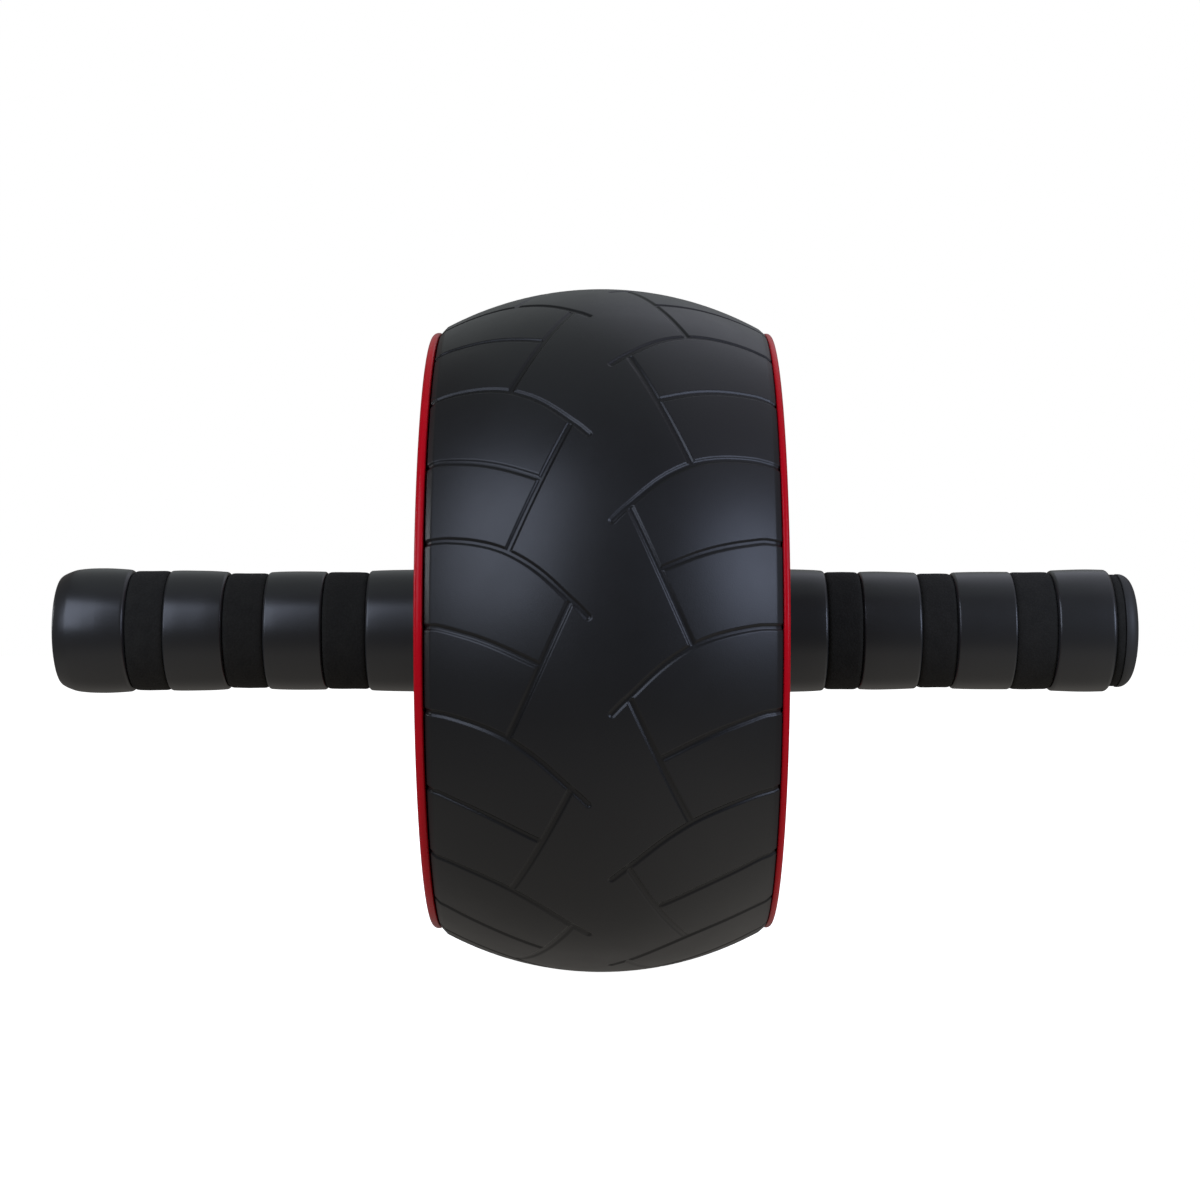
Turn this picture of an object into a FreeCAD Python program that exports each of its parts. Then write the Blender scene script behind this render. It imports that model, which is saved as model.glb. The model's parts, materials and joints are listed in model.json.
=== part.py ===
"""Ab wheel roller: one wide crowned wheel turning on a steel tube, with a banded grip on each side.

Frame: millimetres, +Z up, origin at the wheel's centre. The axle lies along Y, so the wheel spins about +Y and rolls along X.
The left handle is on -Y and the right handle on +Y.
"""
import FreeCAD, Part
import math
import os

V = FreeCAD.Vector
O = V(0, 0, 0)
AX = V(0, 1, 0)

# ---------------------------------------------------------------- driving dimensions (mm)
# wheel
R_CROWN = 97.5          # tread radius in the middle of the wheel
R_EDGE = 86.0           # tread radius where the crown arc meets the side plane
W_TYRE = 45.0           # half width of the tyre
T_TYRE = 6.5            # tyre thickness, measured on the radius
SHOULDER = 1.8          # width of the bevel along the tyre's edge
R_RIM = 84.8            # red rim's outside radius
W_RIM = 47.6            # half width over the red rims
R_RIM_IN = 70.0         # inside edge of the rim's face
T_DRUM = 3.0            # drum wall
Y_WEB0, Y_WEB1 = 30.0, 33.0     # drum web, inner and outer face
R_HUB = 21.0            # hub boss
Y_HUB = 38.0            # end of the hub boss
R_BUSH_O = 16.0         # bush seat
R_BUSH_FL = 20.0        # bush flange
T_BUSH_FL = 2.5
Y_BUSH0 = 13.0          # inner end of the bush
RUN_FIT = 0.05          # radial running clearance of the bush on the axle
N_RIB = 6

# axle
R_TUBE, R_BORE = 12.5, 11.0
END_GAP = 0.25          # axial play between bush flange and thrust washer
T_WASHER = 1.0
R_WASHER = 19.0
W_COLLAR = 5.5
R_COLLAR = 17.0

# handles: where each raised ring starts and ends along Y, and its radius at the inner end, the middle and the outer end
# (ring 1 is the outermost)
LEFT_RINGS = [(-134.3, -151.1, 18.00, 18.00, 18.00), (-106.9, -123.8, 16.95, 17.35, 17.25),
              (-78.8, -95.6, 17.00, 17.12, 16.85), (-49.8, -66.6, 17.60, 17.50, 17.20)]
RIGHT_RINGS = [(128.8, 145.4, 17.60, 17.60, 17.60), (100.6, 117.5, 16.75, 16.98, 16.93),
               (73.9, 90.7, 16.95, 17.05, 16.72), (47.9, 64.1, 17.80, 17.62, 17.25)]
LEFT_BANDS = [17.10, 16.50, 16.75]      # foam radius between rings 1-2, 2-3 and 3-4
RIGHT_BANDS = [16.80, 16.38, 16.85]
Y_LEFT_END, Y_RIGHT_END = -151.1, 148.1     # where the end caps' heads start; the tube ends there too
R_SEAT = 14.6           # foam radius under a ring
R_NECK_IN = 15.4        # foam radius between the wheel and the innermost ring
R_NECK_OUT = 16.1       # foam radius outboard of the right end ring
R_RING_EDGE = 1.0       # rounding of the ring edges
R_FOAM_EDGE = 0.6       # rounding of the foam where it meets a ring
R_CAP_LEFT, R_CAP_RIGHT = 16.8, 16.3
T_CAP, R_CAP_EDGE = 4.0, 3.4
L_PLUG, R_PLUG_IN = 16.0, 8.4

# fasteners
R_DRUM_BOLT, PCR_DRUM = 2.0, 55.0
R_COVER_SCREW, PCR_COVER = 1.6, 64.5
R_GRUB = 2.5

# ---------------------------------------------------------------- helpers


def revolve_edges(edges):
    """Turns a closed outline in the (radius, Y) half plane about the axle."""
    return Part.Face(Part.Wire(Part.__sortEdges__(edges))).revolve(O, AX, 360)


def line(a, b):
    return Part.LineSegment(V(a[0], a[1], 0), V(b[0], b[1], 0)).toShape()


def arc(a, m, b):
    return Part.Arc(V(a[0], a[1], 0), V(m[0], m[1], 0), V(b[0], b[1], 0)).toShape()


def turn(points, rounds=None):
    """A solid of revolution from a closed polygon of (radius, Y). rounds: {index: radius} rounds that corner."""
    rounds = rounds or {}
    n = len(points)
    corner = []
    for i, p in enumerate(points):
        r = rounds.get(i, 0)
        if not r:
            corner.append((p, None, p))
            continue
        a, b = points[i - 1], points[(i + 1) % n]
        u = V(a[0] - p[0], a[1] - p[1], 0).normalize()
        w = V(b[0] - p[0], b[1] - p[1], 0).normalize()
        half = math.acos(max(-1, min(1, u.dot(w)))) / 2
        d = r / math.tan(half)
        bis = (u + w).normalize()
        c = V(p[0], p[1], 0) + bis * (r / math.sin(half))
        m = c - bis * r
        s, e = V(p[0], p[1], 0) + u * d, V(p[0], p[1], 0) + w * d
        corner.append(((s.x, s.y), (m.x, m.y), (e.x, e.y)))
    edges = []
    for i in range(n):
        s, m, e = corner[i]
        if m:
            edges.append(arc(s, m, e))
        nxt = corner[(i + 1) % n][0]
        if math.hypot(nxt[0] - e[0], nxt[1] - e[1]) > 1e-7:
            edges.append(line(e, nxt))
    return revolve_edges(edges)


def crown_radius(y, top):
    """Radius at Y of a crown arc that is `top` in the middle and drops as the tread does."""
    drop = R_CROWN - R_EDGE
    rho = (W_TYRE ** 2 + drop ** 2) / (2 * drop)
    return top - rho + math.sqrt(rho ** 2 - y ** 2)


def cyl(radius, y0, y1, r=0.0, deg=0.0):
    """A cylinder along Y whose axis is `r` from the axle, at angle `deg` from +X towards +Z."""
    a = math.radians(deg)
    lo, hi = min(y0, y1), max(y0, y1)
    return Part.makeCylinder(radius, hi - lo, V(r * math.cos(a), lo, r * math.sin(a)), AX)


def around(shape, deg):
    """A copy turned about the axle, from +X towards +Z."""
    s = shape.copy()
    s.rotate(O, AX, -deg)
    return s


def flip(shape):
    """The same part on the left side: turned half a turn about Z, so nothing is mirrored."""
    s = shape.copy()
    s.rotate(O, V(0, 0, 1), 180)
    return s


def solid(shape):
    """Merges co-surface faces and returns the single solid."""
    s = shape.removeSplitter()
    return s.Solids[0] if len(s.Solids) == 1 else s


def hexagon(across, y0, y1):
    pts = [V(across / math.sqrt(3) * math.cos(math.radians(60 * k)), y0,
             across / math.sqrt(3) * math.sin(math.radians(60 * k))) for k in range(7)]
    return Part.Face(Part.makePolygon(pts)).extrude(V(0, y1 - y0, 0))


parts = {}

# ---------------------------------------------------------------- tyre: a crowned rubber band of even thickness
y_b = W_TYRE - SHOULDER
r_b = crown_radius(y_b, R_CROWN)
r_s = R_EDGE - 1.0
top_i = R_CROWN - T_TYRE
r_i = crown_radius(W_TYRE, top_i)
parts["tyre"] = revolve_edges([
    arc((r_b, -y_b), (R_CROWN, 0), (r_b, y_b)),
    line((r_b, y_b), (r_s, W_TYRE)),
    line((r_s, W_TYRE), (r_i, W_TYRE)),
    arc((r_i, W_TYRE), (top_i, 0), (r_i, -W_TYRE)),
    line((r_i, -W_TYRE), (r_s, -W_TYRE)),
    line((r_s, -W_TYRE), (r_b, -y_b)),
])

# ---------------------------------------------------------------- drum: two cup-shaped halves that meet in the middle
top_w = top_i - T_DRUM


def drum_half(bolt_clearance):
    """The right half; the left one is flipped. bolt_clearance: hole radius in the joining bosses."""
    r_o, r_w = crown_radius(W_TYRE, top_i), crown_radius(W_TYRE, top_w)
    ym = W_TYRE / 2
    wall = revolve_edges([
        line((top_w, 0), (top_i, 0)),
        arc((top_i, 0), (crown_radius(ym, top_i), ym), (r_o, W_TYRE)),
        line((r_o, W_TYRE), (r_w, W_TYRE)),
        arc((r_w, W_TYRE), (crown_radius(ym, top_w), ym), (top_w, 0)),
    ])
    r_mid = crown_radius(Y_WEB1, top_w) + 1.2
    web = turn([(R_BUSH_O + 1, Y_WEB0), (r_mid, Y_WEB0), (r_mid, Y_WEB1), (R_BUSH_O + 1, Y_WEB1)])
    hub = turn([(R_TUBE + 1.0, 0), (R_HUB, 0), (R_HUB, Y_HUB), (R_BUSH_O, Y_HUB),
                (R_BUSH_O, Y_BUSH0), (R_TUBE + 1.0, Y_BUSH0)])
    body = wall.fuse([web, hub])
    # radial ribs inside the drum run from the hub to half way through the wall
    reach = revolve_edges([
        line((R_HUB - 1, 10), (crown_radius(10, top_w + 1.5), 10)),
        arc((crown_radius(10, top_w + 1.5), 10), (crown_radius(20, top_w + 1.5), 20),
            (crown_radius(Y_WEB0 + 1, top_w + 1.5), Y_WEB0 + 1)),
        line((crown_radius(Y_WEB0 + 1, top_w + 1.5), Y_WEB0 + 1), (R_HUB - 1, Y_WEB0 + 1)),
        line((R_HUB - 1, Y_WEB0 + 1), (R_HUB - 1, 10)),
    ])
    tools = []
    for k in range(N_RIB):
        rib = Part.makeBox(100, 30, 2.6, V(0, 10, -1.3)).common(reach)
        tools.append(around(rib, 60 * k + 30))
        tools.append(cyl(4.8, 0, Y_WEB0 + 1, PCR_DRUM, 60 * k))
        tools.append(cyl(4.4, Y_WEB1 - 1, 40.6, PCR_COVER, 60 * k + 30))
    body = body.fuse(tools)
    for k in range(N_RIB):
        body = body.cut(cyl(bolt_clearance[0], bolt_clearance[1], bolt_clearance[2], PCR_DRUM, 60 * k))
        body = body.cut(cyl(R_COVER_SCREW, 32.0, 41, PCR_COVER, 60 * k + 30))
    return solid(body)


parts["right_drum_half"] = drum_half((R_DRUM_BOLT, -1, 20.0))
parts["left_drum_half"] = flip(drum_half((R_DRUM_BOLT + 0.25, -1, Y_WEB1 + 1)))

# ---------------------------------------------------------------- red rims: flanged rings that cover the tyre's edges
rim = turn([(R_RIM_IN, W_RIM), (R_RIM, W_RIM), (R_RIM, W_TYRE), (76.3, W_TYRE), (76.3, 39.5),
            (73.8, 39.5), (73.8, 40.6), (60.0, 40.6), (60.0, 42.8), (R_RIM_IN, 42.8)],
           {0: 0.8, 1: 1.85, 2: 0.7})
for k in range(N_RIB):
    rim = rim.cut(cyl(R_COVER_SCREW + 0.3, 40, 43.5, PCR_COVER, 60 * k + 30))
rim = solid(rim)
parts["right_rim_ring"] = rim
parts["left_rim_ring"] = flip(rim)

# ---------------------------------------------------------------- side covers: dished discs with stiffening ribs
cover = turn([(69.7, 42.8), (69.7, 45.0), (56.0, 45.0), (27.0, 41.6), (22.2, 41.6), (22.2, 39.4), (27.5, 39.4),
              (56.4, 42.8)], {1: 0.6, 2: 6.0, 3: 4.0, 4: 0.8})
spread = turn([(26.5, 40.8), (55.5, 44.2), (55.5, 44.7), (26.5, 43.2)])
fins = [around(Part.makeBox(40, 10, 3.2, V(22, 38, -1.6)).common(spread), 60 * k) for k in range(N_RIB)]
cover = cover.fuse(fins)
for k in range(N_RIB):
    cover = cover.cut(cyl(R_COVER_SCREW + 0.3, 40, 46, PCR_COVER, 60 * k + 30))
cover = solid(cover)
parts["right_side_cover"] = cover
parts["left_side_cover"] = flip(cover)


def pan_screw(radius, head_r, head_h, y_seat, y_tip, drive):
    """A pan-head screw along Y: head outboard of y_seat, shank inboard, with a cross recess."""
    s = 1 if y_tip < y_seat else -1
    body = turn([(0, y_tip), (radius * 0.55, y_tip), (radius, y_tip + s * radius * 0.6), (radius, y_seat),
                 (head_r, y_seat), (head_r, y_seat + s * head_h), (0, y_seat + s * head_h)], {5: head_h * 0.55})
    top = y_seat + s * head_h
    for w, l in ((drive * 0.34, drive * 2), (drive * 2, drive * 0.34)):
        y0 = min(top, top - s * head_h * 0.55)
        body = body.cut(Part.makeBox(w, head_h * 0.55 + 0.01, l, V(-w / 2, y0 - (0 if s > 0 else 0.01), -l / 2)))
    return body


def group(screw, pcr, start):
    out = []
    for k in range(N_RIB):
        s = screw.copy()
        a = math.radians(60 * k + start)
        s.translate(V(pcr * math.cos(a), 0, pcr * math.sin(a)))
        out.append(s)
    return Part.makeCompound(out)


cover_screw = pan_screw(R_COVER_SCREW, 3.1, 2.1, 45.0, 33.4, 1.25)
parts["right_cover_screws"] = group(cover_screw, PCR_COVER, 30)
parts["left_cover_screws"] = flip(parts["right_cover_screws"])
# the drum bolts go in from the left half and bite into the right half's bosses
drum_bolt = pan_screw(R_DRUM_BOLT, 3.7, 2.6, -Y_WEB1, 18.0, 1.6)
parts["drum_screws"] = group(drum_bolt, PCR_DRUM, 0)

# ---------------------------------------------------------------- bushes, washers, collars
bush = turn([(R_TUBE + RUN_FIT, Y_BUSH0), (R_BUSH_O, Y_BUSH0), (R_BUSH_O, Y_HUB), (R_BUSH_FL, Y_HUB),
             (R_BUSH_FL, Y_HUB + T_BUSH_FL), (R_TUBE + RUN_FIT, Y_HUB + T_BUSH_FL)], {4: 0.5})
parts["right_hub_bush"] = bush
parts["left_hub_bush"] = flip(bush)

y_w = Y_HUB + T_BUSH_FL + END_GAP
washer = turn([(R_TUBE + 0.1, y_w), (R_WASHER, y_w), (R_WASHER, y_w + T_WASHER), (R_TUBE + 0.1, y_w + T_WASHER)])
parts["right_thrust_washer"] = washer
parts["left_thrust_washer"] = flip(washer)

y_c = y_w + T_WASHER
collar = turn([(R_TUBE, y_c), (R_COLLAR, y_c), (R_COLLAR, y_c + W_COLLAR), (R_TUBE, y_c + W_COLLAR)], {1: 0.6, 2: 0.6})
hole = Part.makeCylinder(R_GRUB, 10, V(0, y_c + W_COLLAR / 2, R_TUBE - 1), V(0, 0, 1))
collar = solid(collar.cut(hole))
parts["right_shaft_collar"] = collar
parts["left_shaft_collar"] = flip(collar)
grub = Part.makeCylinder(R_GRUB, 3.9, V(0, y_c + W_COLLAR / 2, R_TUBE), V(0, 0, 1))
key = hexagon(2.5, 0, 2.2)
key.rotate(O, V(1, 0, 0), 90)
key.translate(V(0, y_c + W_COLLAR / 2, R_TUBE + 1.8))
grub = grub.cut(key)
parts["right_grub_screw"] = grub
parts["left_grub_screw"] = flip(grub)

# ---------------------------------------------------------------- axle tube and end caps
parts["axle_tube"] = turn([(R_BORE, Y_LEFT_END), (R_TUBE, Y_LEFT_END), (R_TUBE, Y_RIGHT_END), (R_BORE, Y_RIGHT_END)])


def end_cap(y0, s, r_head):
    """A push-in plug whose head starts at y0; s is +1 on the right and -1 on the left."""
    return turn([(0, y0 + s * T_CAP - s * 0.6), (9.5, y0 + s * T_CAP - s * 0.6), (10.3, y0 + s * T_CAP),
                 (r_head, y0 + s * T_CAP), (r_head, y0), (R_BORE, y0), (R_BORE, y0 - s * (L_PLUG - 1.2)),
                 (R_BORE - 0.9, y0 - s * L_PLUG), (R_PLUG_IN, y0 - s * L_PLUG), (R_PLUG_IN, y0 + s * 1.4),
                 (0, y0 + s * 1.4)], {3: R_CAP_EDGE, 4: 0.2})


parts["left_end_cap"] = end_cap(Y_LEFT_END, -1, R_CAP_LEFT)
parts["right_end_cap"] = end_cap(Y_RIGHT_END, 1, R_CAP_RIGHT)


# ---------------------------------------------------------------- grips: a foam sleeve with raised rings let into it
def grip_ring(y_in, y_out, r_in, r_mid, r_out):
    """One raised ring, slightly crowned, with rounded edges."""
    s = 1 if y_out > y_in else -1
    e = R_RING_EDGE
    a, b = (r_in, y_in + s * e), (r_out, y_out - s * e)
    k = e * 0.2929
    return revolve_edges([
        line((R_SEAT, y_in), (r_in - e, y_in)),
        arc((r_in - e, y_in), (r_in - k, y_in + s * k), a),
        arc(a, (r_mid, (y_in + y_out) / 2), b),
        arc(b, (r_out - k, y_out - s * k), (r_out - e, y_out)),
        line((r_out - e, y_out), (R_SEAT, y_out)),
        line((R_SEAT, y_out), (R_SEAT, y_in)),
    ])


def end_ring(y_in, y_out, radius, r_seam):
    """The outermost ring: a straight land, and on the left a long shoulder down to the end cap."""
    s = 1 if y_out > y_in else -1
    if r_seam is None:
        return turn([(R_SEAT, y_in), (radius, y_in), (radius, y_out), (R_SEAT, y_out)], {1: 1.2, 2: 1.2})
    return turn([(R_SEAT, y_in), (radius, y_in), (radius, y_out - s * 2.2), (r_seam, y_out), (R_SEAT, y_out)],
                {1: 1.6, 2: 4.0})


def grip_sleeve(rings, bands, y_in, y_out):
    """The foam sleeve, stepped down under each ring."""
    pts, rounds = [(R_TUBE, y_in), (R_NECK_IN, y_in)], {}
    inner_first = rings[::-1]
    for i, (a, b, _, _, _) in enumerate(inner_first):
        if i == 0:
            if abs(a - y_in) > 1e-6:
                pts += [(R_NECK_IN, a)]
        else:
            rounds[len(pts)] = R_FOAM_EDGE
            pts += [(bands[len(rings) - 1 - i], a)]
        pts += [(R_SEAT, a), (R_SEAT, b)]
        if i < len(rings) - 1:
            rounds[len(pts)] = R_FOAM_EDGE
            pts += [(bands[len(rings) - 2 - i], b)]
    if abs(inner_first[-1][1] - y_out) > 1e-6:
        pts += [(R_NECK_OUT, inner_first[-1][1]), (R_NECK_OUT, y_out)]
    pts += [(R_TUBE, y_out)]
    return turn(pts, rounds)


for side, rings, bands, s, y_end, r_seam in (("left", LEFT_RINGS, LEFT_BANDS, -1, Y_LEFT_END, R_CAP_LEFT + 0.1),
                                             ("right", RIGHT_RINGS, RIGHT_BANDS, 1, Y_RIGHT_END, None)):
    for i, (a, b, ra, rm, rb) in enumerate(rings):
        name = f"{side}_grip_ring_{i + 1}"
        parts[name] = end_ring(a, b, ra, r_seam) if i == 0 else grip_ring(a, b, ra, rm, rb)
    parts[f"{side}_grip_sleeve"] = grip_sleeve(rings, bands, s * (y_c + W_COLLAR), y_end)

# ---------------------------------------------------------------- write one file per piece
os.makedirs("parts", exist_ok=True)
total = 0.0
for name, shape in sorted(parts.items()):
    assert shape.isValid(), name
    for sd in shape.Solids:
        assert sd.isClosed() and sd.Volume > 0, name
    shape.exportStep(f"parts/{name}.step")
    total += shape.Volume
    b = shape.BoundBox
    print(f"{name:22s} solids {len(shape.Solids):2d}  faces {len(shape.Faces):3d}  cm3 {shape.Volume / 1000:8.3f}  "
          f"Y {b.YMin:8.2f} {b.YMax:8.2f}  Z {b.ZMin:7.2f} {b.ZMax:7.2f}")
print("nodes", len(parts), "volume cm3", round(total / 1000, 1))
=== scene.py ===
"""Looks of the ab wheel roller: grooved tyre, banded grips, rims, covers and their materials, in the CAD frame (metres, +Y along the axle)."""
import json
import math
import random

import bpy
import numpy as np
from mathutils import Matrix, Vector
from mathutils.geometry import delaunay_2d_cdt
from mathutils.kdtree import KDTree

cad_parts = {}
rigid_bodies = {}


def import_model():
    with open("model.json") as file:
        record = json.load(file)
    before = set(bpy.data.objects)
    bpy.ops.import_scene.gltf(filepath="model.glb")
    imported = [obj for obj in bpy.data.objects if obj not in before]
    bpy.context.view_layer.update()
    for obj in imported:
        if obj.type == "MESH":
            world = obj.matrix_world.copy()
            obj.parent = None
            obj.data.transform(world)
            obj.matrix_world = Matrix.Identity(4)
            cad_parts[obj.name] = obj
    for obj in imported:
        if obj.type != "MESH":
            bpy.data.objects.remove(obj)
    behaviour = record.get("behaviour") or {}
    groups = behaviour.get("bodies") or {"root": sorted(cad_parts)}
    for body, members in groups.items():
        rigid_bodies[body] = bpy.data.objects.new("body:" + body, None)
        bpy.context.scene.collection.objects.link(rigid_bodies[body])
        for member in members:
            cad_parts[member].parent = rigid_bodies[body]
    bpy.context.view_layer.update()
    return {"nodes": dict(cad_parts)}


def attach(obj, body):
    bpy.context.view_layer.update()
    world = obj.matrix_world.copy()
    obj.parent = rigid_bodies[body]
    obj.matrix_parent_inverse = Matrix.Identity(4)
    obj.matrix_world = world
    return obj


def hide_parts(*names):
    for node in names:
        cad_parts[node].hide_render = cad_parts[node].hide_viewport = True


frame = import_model()
MM = 0.001
scene = bpy.context.scene

# ------------------------------------------------------------------------------------------------ sizes in mm
R_CROWN, R_EDGE, W_TYRE, T_TYRE = 97.5, 86.0, 45.0, 6.5
DROP = R_CROWN - R_EDGE
RHO = (W_TYRE**2 + DROP**2) / (2 * DROP)
N_PITCH = 12


def crown(y, top=R_CROWN):
    return top - RHO + np.sqrt(RHO**2 - np.asarray(y, float) ** 2)


# ------------------------------------------------------------------------------------------------ mesh helpers
def new_object(name, verts, faces, normals=None, smooth=True):
    """A mesh object from points in mm. normals, one per point, are kept as the shading normals."""
    me = bpy.data.meshes.new(name)
    me.from_pydata([tuple(v) for v in np.asarray(verts) * MM], [], faces)
    me.validate()
    me.polygons.foreach_set("use_smooth", [smooth] * len(me.polygons))
    if normals is not None:
        me.normals_split_custom_set_from_vertices([tuple(n) for n in normals])
    me.update()
    ob = bpy.data.objects.new(name, me)
    scene.collection.objects.link(ob)
    return ob


def rounded(points, radii, seg=6, closed=True):
    """A polygon of (r, y) with its corners rounded; radii by index."""
    out, n = [], len(points)
    for i, p in enumerate(points):
        p = np.array(p, float)
        r = radii.get(i, 0.0)
        if r <= 0 or (not closed and i in (0, n - 1)):
            out.append(p)
            continue
        a, b = np.array(points[i - 1], float), np.array(points[(i + 1) % n], float)
        u, w = (a - p) / np.linalg.norm(a - p), (b - p) / np.linalg.norm(b - p)
        half = math.acos(max(-1.0, min(1.0, float(u @ w)))) / 2
        d = r / math.tan(half)
        bis = (u + w) / np.linalg.norm(u + w)
        c = p + bis * (r / math.sin(half))
        s, e = p + u * d - c, p + w * d - c
        a0, a1 = math.atan2(s[1], s[0]), math.atan2(e[1], e[0])
        da = (a1 - a0 + math.pi) % (2 * math.pi) - math.pi
        for k in range(seg + 1):
            t = a0 + da * k / seg
            out.append(c + r * np.array([math.cos(t), math.sin(t)]))
    return np.array(out)


def densify(prof, step, closed=True):
    """Adds points along straight stretches longer than step."""
    out, n = [], len(prof)
    for i in range(n if closed else n - 1):
        a, b = prof[i], prof[(i + 1) % n]
        k = max(1, int(math.ceil(np.linalg.norm(b - a) / step)))
        out += [a + (b - a) * j / k for j in range(k)]
    if not closed:
        out.append(prof[-1])
    return np.array(out)


def lathe(name, prof, seg, closed=True, wobble=None):
    """Turns a profile of (r, y) about the Y axis. Open profiles start and end on the axis. wobble(y, angle) adds to the radius in mm."""
    prof = np.asarray(prof, float)
    m = len(prof)
    # shading normals follow the profile, so flats stay flat beside rounded edges
    nxt, prv = np.roll(prof, -1, 0), np.roll(prof, 1, 0)
    if not closed:
        nxt[-1], prv[0] = prof[-1], prof[0]
    e1, e0 = nxt - prof, prof - prv
    l1, l0 = np.linalg.norm(e1, axis=1)[:, None], np.linalg.norm(e0, axis=1)[:, None]
    e1, e0 = e1 / np.maximum(l1, 1e-9), e0 / np.maximum(l0, 1e-9)
    # a short edge belongs to a rounding: the long flat beside it decides the normal there
    t = e1 * np.clip(l1, 0, 50) ** 1.5 + e0 * np.clip(l0, 0, 50) ** 1.5
    t /= np.maximum(np.linalg.norm(t, axis=1)[:, None], 1e-9)
    area = 0.5 * np.sum(prof[:, 0] * nxt[:, 1] - nxt[:, 0] * prof[:, 1])
    sign = 1.0 if area > 0 else -1.0
    nr, ny = t[:, 1] * sign, -t[:, 0] * sign
    ang = 2 * math.pi * np.arange(seg) / seg
    verts, norms, faces = [], [], []
    poles = {}
    index = np.zeros((m, seg), int)
    for i in range(m):
        r, y = prof[i]
        if not closed and i in (0, m - 1) and r < 1e-6:
            poles[i] = len(verts)
            index[i, :] = len(verts)
            verts.append((0, y, 0))
            norms.append((0, math.copysign(1, ny[i]) if abs(ny[i]) > 1e-6 else 1, 0))
            continue
        rr = r + (wobble(y, ang) if wobble is not None else 0 * ang)
        for k in range(seg):
            index[i, k] = len(verts)
            c, s = math.cos(ang[k]), math.sin(ang[k])
            verts.append((rr[k] * c, y, rr[k] * s))
            norms.append((nr[i] * c, ny[i], nr[i] * s))
    rows = m if closed else m - 1
    for i in range(rows):
        j = (i + 1) % m
        for k in range(seg):
            q = (k + 1) % seg
            f = [index[i, k], index[j, k], index[j, q], index[i, q]]
            f = [v for n_, v in enumerate(f) if v not in f[:n_]]
            if len(f) >= 3:
                faces.append(f if sign > 0 else f[::-1])
    ob = new_object(name, verts, faces, norms if wobble is None else None)
    return ob


# ------------------------------------------------------------------------------------------------ tyre with its tread
# on each side: where the bevel starts, where the side wall is, and the radius where the two meet
EDGE = {-1: (43.2, 44.75, R_EDGE - 0.7), 1: (44.35, 45.95, R_EDGE - 1.05)}


def tyre_profile():
    """Outside of the tyre from the left side wall over the crown to the right one, as points (y, r) and their running length."""
    (b0, w0, r0), (b1, w1, r1) = EDGE[-1], EDGE[1]
    arc = [(float(crown(y)), float(y)) for y in np.linspace(-b0, b1, 400)]
    pts = [(79.5, -w0), (r0, -w0)] + arc + [(r1, w1), (79.5, w1)]
    n = len(pts)
    prof = rounded(pts, {1: 0.5, n - 2: 0.5}, seg=10, closed=False)
    # soften the corner between crown and bevel
    prof = densify(prof, 0.08, closed=False)
    sm = prof.copy()
    k = np.hanning(11)
    k /= k.sum()
    for c in (0, 1):
        sm[5:-5, c] = np.convolve(prof[:, c], k, mode="valid")
    length = np.concatenate([[0], np.cumsum(np.linalg.norm(np.diff(sm, axis=0), axis=1))])
    return sm[:, 1], sm[:, 0], length


PY, PR, PL = tyre_profile()
L_TOT = PL[-1]
R_MEAN = 93.0
PITCH_DEG = 360.0 / N_PITCH
V_PITCH = math.radians(PITCH_DEG) * R_MEAN


def u_of_y(y):
    """Running length at a lateral place on the crown or the bevel."""
    return np.interp(y, PY[1:-1], PL[1:-1])


# groove centre lines on one half, as (distance from the middle plane in mm, degrees from the groove's edge end)
LONG = [(46.2, 0.0), (43.0, 0.0), (41.2, -0.02), (39.0, -0.14), (35.0, -0.6), (31.2, -1.15), (27.0, -1.95), (22.7, -3.1),
        (18.0, -4.9), (14.4, -6.6), (11.0, -8.5), (8.0, -10.3), (5.0, -12.0), (2.7, -13.5)]
SHORT = [(46.2, -15.0), (43.0, -15.0), (41.2, -15.08), (38.0, -15.6), (31.3, -16.8), (25.0, -18.2), (18.8, -19.9), (14.9, -21.0)]
DIAG = [(7.4, -11.5), (10.5, -15.7), (14.4, -21.1), (18.4, -26.7), (22.64, -32.72)]


def smooth_line(pts, step=0.15):
    """A Catmull-Rom curve through points, sampled evenly."""
    p = np.array(pts, float)
    p = np.vstack([2 * p[0] - p[1], p, 2 * p[-1] - p[-2]])
    out = []
    for i in range(1, len(p) - 2):
        t = np.linspace(0, 1, 60, endpoint=False)[:, None]
        a, b, c, d = p[i - 1], p[i], p[i + 1], p[i + 2]
        out.append(0.5 * (2 * b + (c - a) * t + (2 * a - 5 * b + 4 * c - d) * t**2 + (3 * b - a - 3 * c + d) * t**3))
    out = np.vstack(out + [p[-2][None]])
    seg = np.concatenate([[0], np.cumsum(np.linalg.norm(np.diff(out, axis=0), axis=1))])
    n = max(2, int(seg[-1] / step))
    s = np.linspace(0, seg[-1], n)
    return np.stack([np.interp(s, seg, out[:, k]) for k in (0, 1)], 1)


def groove_lines():
    """All groove centre lines that reach one pitch, in (u, v) mm, where v is the angle times R_MEAN."""
    lines = []
    for side, edge in ((-1, 15.0), (1, 0.0)):
        bev = EDGE[side][0]
        for pts in (LONG, SHORT, DIAG):
            a = np.array([p[0] for p in pts])
            if side < 0:  # the left half's inner ends lie a little further out
                a = a + 0.6 * np.clip((36.0 - a) / 12.0, 0, 1)
            u = np.where(a > 45, u_of_y(side * (bev + 1.0)) + side * (a - 43.65), u_of_y(side * np.minimum(a, bev)))
            v = np.radians(np.array([p[1] for p in pts]) + edge) * R_MEAN
            base = smooth_line(np.stack([u, v], 1))
            for k in range(-2, 3):
                lines.append(base + np.array([0.0, k * V_PITCH]))
    return lines


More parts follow.
